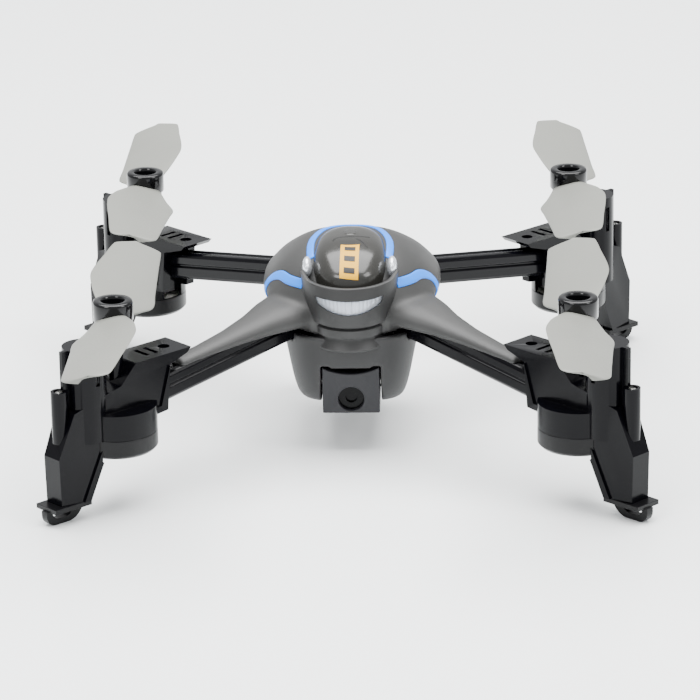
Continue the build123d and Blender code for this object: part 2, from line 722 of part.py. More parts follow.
# -------------------------------------------------------------------- tilting camera
with BuildPart() as camera_block:
    with BuildSketch(Plane.YZ.offset(-BLOCK_HALF_W)):
        with BuildLine():
            Line((BLOCK_FRONT_Y + 1.2, PIVOT_Z - 6.2), (BLOCK_FRONT_Y, PIVOT_Z + 6.2))
            Line((BLOCK_FRONT_Y, PIVOT_Z + 6.2), (PIVOT_Y - 2.0, PIVOT_Z + 7.4))
            ThreePointArc(
                (PIVOT_Y - 2.0, PIVOT_Z + 7.4),
                (PIVOT_Y + 7.1, PIVOT_Z + 0.6),
                (PIVOT_Y - 2.0, PIVOT_Z - 6.2),
            )
            Line((PIVOT_Y - 2.0, PIVOT_Z - 6.2), (BLOCK_FRONT_Y + 1.2, PIVOT_Z - 6.2))
        make_face()
    extrude(amount=2 * BLOCK_HALF_W)
    # concave saddle in the top edge, lens barrel and pin bore
    with BuildSketch(Plane.XZ.offset(24)):
        with Locations((0, PIVOT_Z + 4.4 + SADDLE_R)):
            Circle(SADDLE_R)
    extrude(amount=-7.5, mode=Mode.SUBTRACT)
    with BuildSketch(Plane.XZ.offset(24)):
        with Locations((0, LENS_Z)):
            Circle(LENS_R)
    extrude(amount=-8.0, mode=Mode.SUBTRACT)
    with BuildSketch(Plane.YZ.offset(-BLOCK_HALF_W)):
        with Locations((PIVOT_Y, PIVOT_Z)):
            Circle(1.0)
    extrude(amount=2 * BLOCK_HALF_W, mode=Mode.SUBTRACT)
save(camera_block, "camera_block")

with BuildPart() as camera_lens:
    with BuildSketch(Plane.XZ.offset(19.2)):
        with Locations((0, LENS_Z)):
            Circle(LENS_R - 0.05)
    extrude(amount=-2.6)
    with BuildSketch(Plane.XZ.offset(19.2)):
        with Locations((0, LENS_Z)):
            Circle(1.5)
    extrude(amount=-0.8, mode=Mode.SUBTRACT)
save(camera_lens, "camera_lens")

with BuildPart() as camera_pin:
    with BuildSketch(Plane.YZ.offset(-BAY_HALF_W - 1.1)):
        with Locations((PIVOT_Y, PIVOT_Z)):
            Circle(1.0)
    extrude(amount=2 * (BAY_HALF_W + 1.1))
save(camera_pin, "camera_pin")

# ----------------------------------------------------------------------- electronics
BOARD_Z = 31.6
BOARD_Y = 3.5

with BuildPart() as main_board:
    with BuildSketch(Plane.XY.offset(BOARD_Z)):
        with Locations((0, BOARD_Y)):
            RectangleRounded(20.0, 24.0, 2.0)
    extrude(amount=1.2)
    with BuildSketch(Plane.XY.offset(BOARD_Z + 1.2)):
        with Locations((-4.0, 0.5), (5.0, 8.0)):
            Rectangle(6.0, 6.0)
        with Locations((5.5, -3.0), (-5.0, 11.0)):
            Rectangle(3.4, 4.4)
    extrude(amount=1.1)
    for post_y, post_foot in ((BOARD_Y - 9.8, BAY_ROOF_Z), (BOARD_Y + 9.8, TUNNEL_ROOF_Z)):
        with BuildSketch(Plane.XY.offset(post_foot)):
            with Locations((-8.0, post_y), (8.0, post_y)):
                Circle(1.0)
        extrude(amount=BOARD_Z - post_foot)
save(main_board, "main_board")

# ---------------------------------------------------------------------- battery pack
with BuildPart() as battery:
    with BuildSketch(Plane.XZ.offset(-PACK_NOSE_Y)):
        with Locations((0, (PACK_BOTTOM_Z + PACK_TOP_Z) / 2)):
            RectangleRounded(2 * PACK_HALF_W, PACK_TOP_Z - PACK_BOTTOM_Z, 1.2)
    extrude(amount=-(PACK_TAIL_Y - PACK_NOSE_Y))
save(battery, "battery")

with BuildPart(mode=Mode.PRIVATE) as cap_block:
    with Locations((0, PACK_TAIL_Y + 10.0, (PACK_BOTTOM_Z + PACK_TOP_Z) / 2)):
        Box(2 * PACK_HALF_W, 20.0, PACK_TOP_Z - PACK_BOTTOM_Z)

with BuildPart() as battery_cap:
    add(LOWER_SKIN)
    add(cap_block.part, mode=Mode.INTERSECT)
    # two grip ears on the tail face
    for side in (-1, 1):
        with BuildSketch(Plane.YZ.offset(side * 3.6 - 0.9)):
            with BuildLine():
                Polyline((24.0, 19.6), (28.2, 20.6), (28.6, 18.0), (24.0, 16.4), close=True)
            make_face()
        extrude(amount=1.8)
save(battery_cap, "battery_cap")

# -------------------------------------------------------- aerial housing and button
ANTENNA_X = -12.8
ANTENNA_Y = 30.6

with BuildPart() as antenna:
    with BuildSketch(Plane.XY.offset(10.4)):
        with Locations((ANTENNA_X, ANTENNA_Y)):
            Circle(2.8)
    extrude(amount=13.6)
    with BuildSketch(Plane.XY.offset(18.4)):
        with Locations((ANTENNA_X, ANTENNA_Y)):
            Circle(3.3)
    extrude(amount=1.6)
    with Locations((ANTENNA_X, ANTENNA_Y, 10.4)):
        Sphere(2.8)
    with BuildSketch(Plane.XY.offset(24.0)):
        with Locations((ANTENNA_X, ANTENNA_Y - 2.0)):
            RectangleRounded(6.4, 9.4, 1.5)
    extrude(amount=4.6)
    add(LOWER_SKIN, mode=Mode.SUBTRACT)
save(antenna, "antenna")

with BuildPart() as power_button:
    with BuildSketch(Plane.XY.offset(BUTTON_BASE_Z)):
        with Locations((0, BUTTON_Y)):
            Circle(BUTTON_R)
    extrude(amount=BUTTON_TOP_Z - BUTTON_BASE_Z)
    with BuildSketch(Plane.XY.offset(BUTTON_BASE_Z)):
        with Locations((0, BUTTON_Y)):
            Circle(1.2)
    extrude(amount=-2.0)
save(power_button, "power_button")
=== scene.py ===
# %% [markdown]
# # A mini palm drone
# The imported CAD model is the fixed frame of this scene. It brings the arms, motor pods, gears and joints to
# their true places. This file gives the drone its looks: moulded shells, glossy pods, painted stripes,
# paddle blades and a smoked canopy. Every new piece is laid out around the frame, in the frame's own metres.

# %% Load the frame
from math import copysign, cos, pi, radians, sin

import bmesh
import bpy
from mathutils import Matrix, Vector
from mathutils.bvhtree import BVHTree


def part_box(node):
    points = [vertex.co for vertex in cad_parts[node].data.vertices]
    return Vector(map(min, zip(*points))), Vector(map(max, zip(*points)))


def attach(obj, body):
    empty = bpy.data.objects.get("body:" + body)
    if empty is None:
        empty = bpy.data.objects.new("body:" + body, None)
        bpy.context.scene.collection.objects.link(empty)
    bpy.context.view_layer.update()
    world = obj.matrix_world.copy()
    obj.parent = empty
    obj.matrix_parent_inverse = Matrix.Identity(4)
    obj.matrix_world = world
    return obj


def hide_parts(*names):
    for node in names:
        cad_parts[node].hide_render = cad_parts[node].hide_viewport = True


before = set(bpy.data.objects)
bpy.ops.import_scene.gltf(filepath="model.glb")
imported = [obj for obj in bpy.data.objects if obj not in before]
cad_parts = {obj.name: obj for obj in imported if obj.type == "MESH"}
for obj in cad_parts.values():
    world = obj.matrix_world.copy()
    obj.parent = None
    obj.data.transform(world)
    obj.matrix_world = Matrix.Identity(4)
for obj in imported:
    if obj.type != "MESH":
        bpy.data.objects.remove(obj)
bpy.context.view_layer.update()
MM = 0.001

# %% [markdown]
# ## Where things are
# The four corners share one design, so one table of names is enough. Each hub's centre could be typed in, but
# the box of its shaft gives it, and so the looks follow if the CAD changes. The direction from the middle of
# the drone to the hub is the arm's direction, and a corner's own points are stated along it.

# %% Corners, hubs and arm directions
CORNERS = ("front_right", "front_left", "rear_left", "rear_right")


def middle(node):
    low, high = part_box(node)
    return (low + high) / 2


HUB = {c: Vector((*middle(f"prop_shaft_{c}").xy, 0.0)) for c in CORNERS}


def corner_point(corner, s, w, z):
    """A point in a corner's own frame, in mm: s outward along the arm, w sideways, z up."""
    out = HUB[corner].normalized()
    side = Vector((-out.y, out.x, 0.0))
    return HUB[corner] + out * s * MM + side * w * MM + Vector((0, 0, z * MM))


for c in CORNERS:
    print(c, "hub at", [round(v / MM, 1) for v in HUB[c].xy], "mm")

# %% [markdown]
# ## Grain that several finishes share
# Moulded plastic is never one flat colour: the mould's fine spark texture catches the light, and the tone
# drifts a little from place to place. Each material could hold its own noise nodes. One node group is better,
# because each finish then only states how strong the drift, the unevenness and the grain are.

# %% Sockets and noises of the grain group
GRAIN_INPUTS = (
    ("Color", "NodeSocketColor", (0.1, 0.1, 0.1, 1.0)),
    ("Drift", "NodeSocketFloat", 0.1),
    ("Scale", "NodeSocketFloat", 3000.0),
    ("Depth", "NodeSocketFloat", 0.1),
    ("Roughness", "NodeSocketFloat", 0.5),
    ("Spread", "NodeSocketFloat", 0.1),
)
GRAIN_OUTPUTS = (
    ("Color", "NodeSocketColor"),
    ("Roughness", "NodeSocketFloat"),
    ("Normal", "NodeSocketVector"),
)


def add_noise(group, place, detail):
    """A noise that stays with the piece when the piece moves."""
    noise = group.nodes.new("ShaderNodeTexNoise")
    noise.inputs["Detail"].default_value = detail
    group.links.new(place.outputs["Object"], noise.inputs["Vector"])
    return noise


def about_zero(group, noise):
    """Shift a noise so that it swings evenly below and above zero."""
    shift = group.nodes.new("ShaderNodeMath")
    shift.operation = "SUBTRACT"
    shift.inputs[1].default_value = 0.5
    group.links.new(noise.outputs["Fac"], shift.inputs[0])
    return shift.outputs[0]


print("grain inputs:", [name for name, _, _ in GRAIN_INPUTS])

# %% Node group: moulded grain
CLOUD_SCALE = 90.0
GRAIN_HEIGHT = 0.1 * MM


def make_grain_group():
    group = bpy.data.node_groups.new("moulded grain", "ShaderNodeTree")
    for name, kind, value in GRAIN_INPUTS:
        socket = group.interface.new_socket(name=name, in_out="INPUT", socket_type=kind)
        socket.default_value = value
    for name, kind in GRAIN_OUTPUTS:
        group.interface.new_socket(name=name, in_out="OUTPUT", socket_type=kind)
    nodes, links = group.nodes, group.links
    given = nodes.new("NodeGroupInput")
    result = nodes.new("NodeGroupOutput")
    place = nodes.new("ShaderNodeTexCoord")

    # broad clouds let the tone drift
    clouds = add_noise(group, place, 3.0)
    clouds.inputs["Scale"].default_value = CLOUD_SCALE
    shade = nodes.new("ShaderNodeMath")
    shade.operation = "MULTIPLY_ADD"
    shade.inputs[2].default_value = 1.0
    links.new(about_zero(group, clouds), shade.inputs[0])
    links.new(given.outputs["Drift"], shade.inputs[1])
    tint = nodes.new("ShaderNodeVectorMath")
    tint.operation = "SCALE"
    links.new(given.outputs["Color"], tint.inputs[0])
    links.new(shade.outputs[0], tint.inputs["Scale"])
    links.new(tint.outputs[0], result.inputs["Color"])

    # fine specks make the gloss uneven
    specks = add_noise(group, place, 2.0)
    links.new(given.outputs["Scale"], specks.inputs["Scale"])
    uneven = nodes.new("ShaderNodeMath")
    uneven.operation = "MULTIPLY_ADD"
    links.new(about_zero(group, specks), uneven.inputs[0])
    links.new(given.outputs["Spread"], uneven.inputs[1])
    links.new(given.outputs["Roughness"], uneven.inputs[2])
    links.new(uneven.outputs[0], result.inputs["Roughness"])

    # the same specks raise the surface a little
    bump = nodes.new("ShaderNodeBump")
    bump.inputs["Distance"].default_value = GRAIN_HEIGHT
    links.new(given.outputs["Depth"], bump.inputs["Strength"])
    links.new(specks.outputs["Fac"], bump.inputs["Height"])
    links.new(bump.outputs["Normal"], result.inputs["Normal"])
    return group


GRAIN = make_grain_group()
print("the grain group has", len(GRAIN.nodes), "nodes")

# %% [markdown]
# ## Finishes
# The drone is matte gray and gloss black plastic, with blue paint, a yellow label and a few metal parts. Each
# finish is a Principled shader fed by the grain group. Blacks have a low specular level: with the usual one,
# a bright studio would turn them gray.

# %% A finish from a few plain numbers
def plain_finish(name):
    """A new material and its Principled shader."""
    made = bpy.data.materials.new(name)
    made.use_nodes = True
    return made, made.node_tree.nodes["Principled BSDF"]


def finish_of(
    name, color, roughness, drift=0.12, scale=2500.0, depth=0.1, spread=0.1, metallic=0.0, coat=0.0,
    specular=0.5,
):
    """A moulded finish: its colour and roughness, and how strong its grain is."""
    made, shader = plain_finish(name)
    grain = made.node_tree.nodes.new("ShaderNodeGroup")
    grain.node_tree = GRAIN
    grain.inputs["Color"].default_value = (*color, 1.0)
    grain.inputs["Drift"].default_value = drift
    grain.inputs["Scale"].default_value = scale
    grain.inputs["Depth"].default_value = depth
    grain.inputs["Roughness"].default_value = roughness
    grain.inputs["Spread"].default_value = spread
    links = made.node_tree.links
    links.new(grain.outputs["Color"], shader.inputs["Base Color"])
    links.new(grain.outputs["Roughness"], shader.inputs["Roughness"])
    links.new(grain.outputs["Normal"], shader.inputs["Normal"])
    shader.inputs["Metallic"].default_value = metallic
    shader.inputs["Specular IOR Level"].default_value = specular
    shader.inputs["Coat Weight"].default_value = coat
    shader.inputs["Coat Roughness"].default_value = 0.05
    return made


SHELL = finish_of(
    "matte shell", (0.027, 0.027, 0.0265), 0.50, depth=0.25, scale=4000.0, spread=0.12, specular=0.4
)
MASK = finish_of(
    "face mask", (0.019, 0.019, 0.019), 0.48, depth=0.25, scale=4000.0, spread=0.12, specular=0.35
)
LOWER = finish_of(
    "lower shell", (0.018, 0.018, 0.0185), 0.50, depth=0.3, scale=4000.0, spread=0.12, specular=0.35
)
print("matte finishes:", SHELL.name, MASK.name, LOWER.name, sep=", ")

# %% Gloss and satin plastics
GLOSS = finish_of(
    "gloss pod", (0.0010, 0.0010, 0.0018), 0.17, depth=0.05, scale=900.0, spread=0.08, specular=0.12
)
SATIN_BLACK = finish_of("satin black", (0.003, 0.003, 0.0035), 0.30, depth=0.12, specular=0.18)
HUB_BLACK = finish_of("hub black", (0.002, 0.002, 0.0025), 0.12, depth=0.04, scale=900.0, specular=0.28)
BLADE_GRAY = finish_of(
    "blade gray", (0.175, 0.178, 0.160), 0.42, drift=0.10, depth=0.2, scale=1800.0, spread=0.16, specular=0.4
)
SMOKE = finish_of(
    "smoked canopy", (0.018, 0.0175, 0.0155), 0.22, drift=0.25, depth=0.02, scale=500.0, coat=0.15,
    specular=0.4,
)
CAMERA_GRAY = finish_of(
    "camera gray", (0.011, 0.011, 0.0135), 0.46, depth=0.2, scale=4000.0, specular=0.3
)
NYLON = finish_of("gear nylon", (0.78, 0.77, 0.72), 0.42, depth=0.1)
BATTERY = finish_of("battery wrap", (0.020, 0.030, 0.055), 0.35, depth=0.2)
print(len(bpy.data.materials), "finishes so far")

# %% Paint, print, board, glass and metals
BLUE = finish_of("stripe blue", (0.002, 0.190, 0.820), 0.34, drift=0.06, depth=0.08, specular=0.3)
YELLOW = finish_of("label yellow", (0.640, 0.330, 0.003), 0.40, drift=0.15, depth=0.08, specular=0.3)
INK = finish_of("printed ink", (0.003, 0.003, 0.003), 0.40, depth=0.05, specular=0.3)
BOARD = finish_of("board green", (0.015, 0.095, 0.035), 0.36, depth=0.1, coat=0.3)
GLASS = finish_of("camera glass", (0.0008, 0.0008, 0.0012), 0.2, depth=0.0, specular=0.1)
STEEL = finish_of("zinc screw", (0.62, 0.62, 0.60), 0.28, depth=0.1, metallic=1.0)
MOTOR_CAN = finish_of("motor can", (0.55, 0.55, 0.56), 0.30, depth=0.08, metallic=1.0)
BRASS = finish_of("pinion brass", (0.60, 0.42, 0.16), 0.30, depth=0.06, metallic=1.0)
REFLECTOR = finish_of(
    "lamp reflector", (0.80, 0.83, 0.88), 0.22, drift=0.10, depth=0.5, scale=700.0, metallic=0.7
)


def make_clear():
    """Clear moulded lamp window: thin, bright and slightly frosted."""
    made, shader = plain_finish("lamp clear")
    shader.inputs["Base Color"].default_value = (0.86, 0.90, 0.96, 1.0)
    shader.inputs["Roughness"].default_value = 0.18
    shader.inputs["Transmission Weight"].default_value = 0.75
    shader.inputs["IOR"].default_value = 1.49
    return made


CLEAR = make_clear()
print(len(bpy.data.materials), "finishes")

# %% [markdown]
# ## The body's outline
# The drone's body is a soft lozenge: belly narrow, waist wide at the blue stripes, back domed. It could be
# sculpted, but the shell, its hollow and its stripes must all agree. So a few stations state the half width,
# nose and tail at each height, and a smooth curve through them gives every height between.

# %% Body stations and the curve through them
# height, half width, nose y, tail y, all in mm
BODY = (
    (12.0, 12.2, -14.5, 20.0),
    (15.0, 13.6, -19.5, 24.0),
    (23.0, 15.5, -22.4, 27.0),
    (31.0, 17.5, -22.8, 28.0),
    (38.0, 22.4, -21.8, 28.0),
    (43.0, 19.6, -20.6, 24.0),
    (47.3, 15.3, -17.5, 16.5),
    (50.3, 10.6, -12.5, 9.5),
    (51.8, 5.5, -6.5, 4.5),
)
WAIST_Z = 38.0


def through(stations, height):
    """Catmull-Rom values at a height of a table whose first column is the height."""
    last = len(stations) - 1
    i = max(k for k in range(last) if stations[k][0] <= height or k == 0)
    a, b, c, d = (stations[min(max(k, 0), last)] for k in (i - 1, i, i + 1, i + 2))
    t = (height - b[0]) / (c[0] - b[0])
    values = []
    for k in range(1, len(b)):
        m0 = (c[k] - a[k]) / (c[0] - a[0]) * (c[0] - b[0])
        m1 = (d[k] - b[k]) / (d[0] - b[0]) * (c[0] - b[0])
        start = (2 * t**3 - 3 * t**2 + 1) * b[k] + (t**3 - 2 * t**2 + t) * m0
        values.append(start + (-2 * t**3 + 3 * t**2) * c[k] + (t**3 - t**2) * m1)
    return values


print("half width at the waist:", round(through(BODY, WAIST_Z)[0], 1), "mm")

# %% Rings of the body
BODY_POWER, NOSE_POWER = 2.8, 2.3


def squircle(half_x, nose, tail, z, power, count=96, nose_power=None):
    """Closed outline between an ellipse (power 2) and a rounded rectangle (power 4)."""
    mid, half_y = (nose + tail) / 2, (tail - nose) / 2
    points = []
    for k in range(count):
        c, s = cos(2 * pi * k / count), sin(2 * pi * k / count)
        bend = power if s > 0 else nose_power or power
        x = half_x * copysign(abs(c) ** (2 / bend), c)
        y = mid + half_y * copysign(abs(s) ** (2 / bend), s)
        points.append(Vector((x, y, z)) * MM)
    return points


def body_rings(low, high, steps, grow=0.0):
    """Outlines of the body from one height to another, made larger or smaller all round."""
    rings = []
    for k in range(steps + 1):
        z = low + (high - low) * k / steps
        half_x, nose, tail = through(BODY, z)
        rings.append(squircle(half_x + grow, nose - grow, tail + grow, z, BODY_POWER, nose_power=NOSE_POWER))
    return rings


print("points in a body ring:", len(body_rings(WAIST_Z, WAIST_Z, 1)[0]))

# %% [markdown]
# ## Rings into a skin
# Most of the shells are stacks of rings. A bmesh circle is set on the first outline, then its edges are
# extruded again and again, and each new ring is set on the outline at its height. Extruding keeps the faces
# in tidy rows, which a later smooth or bevel needs. A finished bmesh is wrapped up as a piece that rides on a
# body of the frame.

# %% Extrude rings into a skin
def next_ring(bm, ring, points):
    """Extrude a closed ring of vertices and set the new one on the given points."""
    edges = [bm.edges.get((ring[i - 1], ring[i])) for i in range(len(ring))]
    made = bmesh.ops.extrude_edge_only(bm, edges=edges)["geom"]
    fresh = {v for v in made if isinstance(v, bmesh.types.BMVert)}
    moved = []
    for old, point in zip(ring, points):
        new = next(e.other_vert(old) for e in old.link_edges if e.other_vert(old) in fresh)
        new.co = point
        moved.append(new)
    return moved


def ring_loft(bm, rings):
    """Skin a stack of closed rings that have the same number of points, and close both ends."""
    ring = bmesh.ops.create_circle(bm, cap_ends=False, radius=1.0, segments=len(rings[0]))["verts"]
    for vertex, point in zip(ring, rings[0]):
        vertex.co = point
    bmesh.ops.contextual_create(bm, geom=ring)
    for points in rings[1:]:
        ring = next_ring(bm, ring, points)
    bmesh.ops.contextual_create(bm, geom=ring)


SHELL_LOW_Z, SHELL_TOP_Z = 31.2, 51.7
dome = bmesh.new()
ring_loft(dome, body_rings(SHELL_LOW_Z, SHELL_TOP_Z, 26))
print("the bare dome holds", round(dome.calc_volume() / MM**3 / 1000, 1), "ml")

# %% Wrap up a piece
def put_in_scene(name, data):
    made = bpy.data.objects.new(name, data)
    bpy.context.scene.collection.objects.link(made)
    return made


def mesh_object(name, bm):
    """Turn a bmesh into an object."""
    mesh = bpy.data.meshes.new(name)
    bm.to_mesh(mesh)
    bm.free()
    return put_in_scene(name, mesh)


def wrap_up(name, bm, finish, body, nodes=(), recalc=True):
    """Turn a bmesh into a finished piece that rides on a body and stands in for CAD nodes."""
    if recalc:
        bmesh.ops.recalc_face_normals(bm, faces=bm.faces)
    made = mesh_object(name, bm)
    made.data.materials.append(finish)
    made.data.shade_smooth()
    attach(made, body)
    if nodes:
        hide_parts(*nodes)
    return made


# %% [markdown]
# ## Upper shell and its arm covers
# On this drone the back of the body and the two front arm covers are one moulding: each cover leaves the body
# broad and soft, then tapers to the pod. Modelled apart they would show a hard seam where they meet. So the
# dome and the two wedges are joined, melted together with a fine voxel skin and then smoothed, which leaves
# the same soft hollow where the arm starts. The inside and the button hole are cut afterwards, so they stay
# crisp.

# %% Melt parts together, cut holes
def settle(made):
    """Make a piece's modifiers part of its mesh, so later pieces can be laid on its real surface."""
    depsgraph = bpy.context.evaluated_depsgraph_get()
    final = bpy.data.meshes.new_from_object(made.evaluated_get(depsgraph))
    made.modifiers.clear()
    made.data = final
    final.shade_smooth()


def melt(made, voxel, softness, passes):
    """Fuse a piece's overlapping parts under one fine skin, then soften the skin."""
    skin = made.modifiers.new("skin", "REMESH")
    skin.mode = "VOXEL"
    skin.voxel_size = voxel * MM
    soften = made.modifiers.new("soften", "SMOOTH")
    soften.factor = softness
    soften.iterations = passes
    settle(made)


def carve(made, cutters):
    """Cut closed shapes, each given as a bmesh, out of a piece."""
    tools = []
    for k, bm in enumerate(cutters):
        bmesh.ops.recalc_face_normals(bm, faces=bm.faces)
        tool = mesh_object(f"{made.name}_cutter_{k}", bm)
        tools.append(tool)
        cut = made.modifiers.new(f"cut {k}", "BOOLEAN")
        cut.object = tool
        cut.solver = "EXACT"
    settle(made)
    for tool in tools:
        bpy.data.objects.remove(tool)


print("melting and carving are ready")

# %% Front arm covers join the dome
# along the arm from the hub, half width, top and bottom height, all in mm
COVER = (
    (-18.5, 3.1, 32.4, 30.0),
    (-27.0, 3.5, 33.6, 30.8),
    (-36.0, 4.3, 35.2, 31.6),
    (-44.0, 6.0, 37.0, 32.2),
    (-50.0, 8.4, 38.6, 32.6),
    (-57.0, 10.5, 39.8, 32.8),
)
COVER_POINTS = 32


def cover_section(corner, s, half, top, bottom):
    """Softly rounded wedge section across the arm, narrower at its top."""
    mid, half_height = (top + bottom) / 2, (top - bottom) / 2
    points = []
    for k in range(COVER_POINTS):
        c, n = cos(2 * pi * k / COVER_POINTS), sin(2 * pi * k / COVER_POINTS)
        narrow = 0.86 - 0.14 * n
        w = half * narrow * copysign(abs(c) ** 0.65, c)
        z = mid + half_height * copysign(abs(n) ** 0.75, n)
        points.append(corner_point(corner, s, w, z))
    return points


for c in ("front_right", "front_left"):
    ring_loft(dome, [cover_section(c, *station) for station in COVER])
print("dome and covers before melting:", len(dome.faces), "faces")

# %% Upper shell
WALL = 1.5
ROOM_LOW_Z, ROOM_TOP_Z = 30.0, 49.6
BUTTON_Y, BUTTON_HOLE_R = 15.5, 2.75
COVERED = ("upper_shell", "arm_cover_front_right", "arm_cover_front_left")


def upright_rod(x, y, radius, low, high):
    bm = bmesh.new()
    bmesh.ops.create_cone(
        bm, cap_ends=True, segments=48, radius1=radius * MM, radius2=radius * MM, depth=(high - low) * MM
    )
    bmesh.ops.translate(bm, verts=bm.verts, vec=Vector((x, y, (low + high) / 2)) * MM)
    return bm


upper_shell = wrap_up("upper_moulding", dome, SHELL, "airframe", COVERED)
melt(upper_shell, voxel=0.5, softness=0.7, passes=22)
room = bmesh.new()
ring_loft(room, body_rings(ROOM_LOW_Z, ROOM_TOP_Z, 14, grow=-WALL))
carve(upper_shell, [room, upright_rod(0, BUTTON_Y, BUTTON_HOLE_R, 40, 56)])
print("upper shell:", len(upper_shell.data.polygons), "faces")

# %% [markdown]
# ## Face mask
# The mask is a bowl whose rim dips at the nose, with two rounded lips stacked under it. It could be a bent
# sheet with a thickness, but the lips would then be lost. So rings are set at each height of its profile, go
# over the rim and come back down inside, which makes the wall. The smile window is then cut with a prism.

# %% Bowl of the mask
# height, half width and half depth of the lips' outside, in mm
MASK_LIPS = (
    (28.2, 8.9, 9.3),
    (28.4, 9.3, 9.8),
    (28.9, 9.4, 10.0),
    (29.5, 9.1, 9.5),
    (30.8, 8.6, 9.0),
    (31.4, 8.4, 8.8),
    (31.7, 8.5, 8.9),
    (32.0, 9.1, 9.8),
    (32.5, 9.2, 10.0),
    (34.1, 9.3, 10.2),
    (34.5, 8.8, 9.6),
    (34.8, 8.9, 9.7),
    (35.2, 9.9, 10.8),
    (36.4, 10.3, 11.1),
)
BOWL_LOW_Z = 36.4
MASK_BOWL = (
    (35.2, 9.9, 10.8),
    (36.4, 10.3, 11.1),
    (41.0, 11.5, 11.6),
    (45.0, 12.0, 11.0),
    (49.5, 12.3, 9.6),
)
# y and height of the rim, from the nose backwards, in mm
MASK_RIM = (
    (-40.0, 44.3),
    (-27.0, 45.3),
    (-21.5, 45.9),
    (-17.0, 47.2),
    (-14.2, 47.0),
    (-11.0, 43.5),
    (20.0, 43.5),
)
RIM_PLAN_Z = 46.0
MASK_CENTRE_Y = -16.0
MASK_POINTS = 120


def along_table(table, x):
    """Straight-line value at x of a table of (x, value)."""
    for (x0, v0), (x1, v1) in zip(table, table[1:]):
        if x <= x1:
            return v0 + (v1 - v0) * max(x - x0, 0.0) / (x1 - x0)
    return table[-1][1]


def mask_point(turn, z, inset=0.0):
    half_x, half_y = through(MASK_BOWL, z)
    x = (half_x - inset) * cos(turn)
    return Vector((x, MASK_CENTRE_Y + (half_y - inset) * sin(turn), z))


def bowl_ring(share, inset=0.0):
    """A ring of the bowl, from its bottom at share 0 to the dipped rim at share 1."""
    points = []
    for k in range(MASK_POINTS):
        turn = 2 * pi * k / MASK_POINTS
        rim = along_table(MASK_RIM, mask_point(turn, RIM_PLAN_Z).y)
        points.append(mask_point(turn, BOWL_LOW_Z + (rim - BOWL_LOW_Z) * share, inset) * MM)
    return points


print("rim height at the nose:", round(along_table(MASK_RIM, mask_point(-pi / 2, RIM_PLAN_Z).y), 1), "mm")

# %% Outline of the smile
SMILE_BOTTOM_HALF, SMILE_TOP_HALF = 7.8, 8.5
SMILE_LOW_Z, SMILE_HIGH_Z = 38.5, 42.2
BOTTOM_CURL, TOP_CURL = 2.4, 0.5


def smile_heights(across, shrink=0.0):
    """Bottom and top of the smile at a share across it, from -1 to 1."""
    bottom = SMILE_LOW_Z + shrink + BOTTOM_CURL * across**2
    top = SMILE_HIGH_Z - shrink + TOP_CURL * across**2
    return bottom, top


def smile_outline(steps=24):
    """The smile seen from the nose: (x, z) points, counter-clockwise."""
    shares = [2 * k / steps - 1 for k in range(steps + 1)]
    bottom = [(SMILE_BOTTOM_HALF * share, smile_heights(share)[0]) for share in shares]
    top = [(-SMILE_TOP_HALF * share, smile_heights(share)[1]) for share in shares]
    return bottom + top


print("points round the smile:", len(smile_outline()))

# %% Mask
MASK_WALL = 1.1
RIM_EASE = 0.18
RIM_CREST = 0.5
RIM_TURN = 0.985
PRISM_FRONT_Y, PRISM_BACK_Y = -40.0, -18.0


def round_edges(made, width, segments=3, angle=32.0):
    """Bevel a piece's sharp edges and keep its flats flat."""
    bevel = made.modifiers.new("rounded edges", "BEVEL")
    bevel.width = width * MM
    bevel.segments = segments
    bevel.limit_method = "ANGLE"
    bevel.angle_limit = radians(angle)
    bevel.harden_normals = True
    made.data.set_sharp_from_angle(angle=radians(angle))


def mask_rings():
    """Up the lips and the bowl, over the rim and down inside."""
    rings = []
    for z, half_x, half_y in MASK_LIPS:
        nose, tail = MASK_CENTRE_Y - half_y, MASK_CENTRE_Y + half_y
        rings.append(squircle(half_x, nose, tail, z, 2.0, MASK_POINTS))
    rings += [bowl_ring(k / 20) for k in range(1, 20)]
    rings += [bowl_ring(RIM_TURN), bowl_ring(1.0, RIM_EASE)]
    rings += [bowl_ring(1.0, RIM_CREST), bowl_ring(1.0, MASK_WALL - RIM_EASE)]
    rings += [bowl_ring(RIM_TURN - 0.09 * k, MASK_WALL) for k in range(11)]
    return rings


def smile_prism():
    bm = bmesh.new()
    outline = smile_outline()
    ring_loft(bm, [[Vector((x, y, z)) * MM for x, z in outline] for y in (PRISM_FRONT_Y, PRISM_BACK_Y)])
    return bm


bowl = bmesh.new()
ring_loft(bowl, mask_rings())
face_mask = wrap_up("face_mask", bowl, MASK, "airframe", ("front_visor",))
carve(face_mask, [smile_prism()])
round_edges(face_mask, 0.12, segments=2, angle=50.0)
print("face mask:", len(face_mask.data.polygons), "faces")

# %% [markdown]
# ## Smile lamp
# Behind the window sits a clear lens and a pleated reflector. The pleats could be painted on, but their
# slanted faces are what makes a lamp sparkle, so they are folded into the mesh. One grid, bent to the mask's
# curve, makes both parts: flat for the lens and folded for the reflector.

# %% Lamp lens and reflector
PANEL_COLUMNS, PANEL_ROWS = 72, 10
CENTRE_FOLD, CENTRE_SHARE = 2.2, 1 / 9


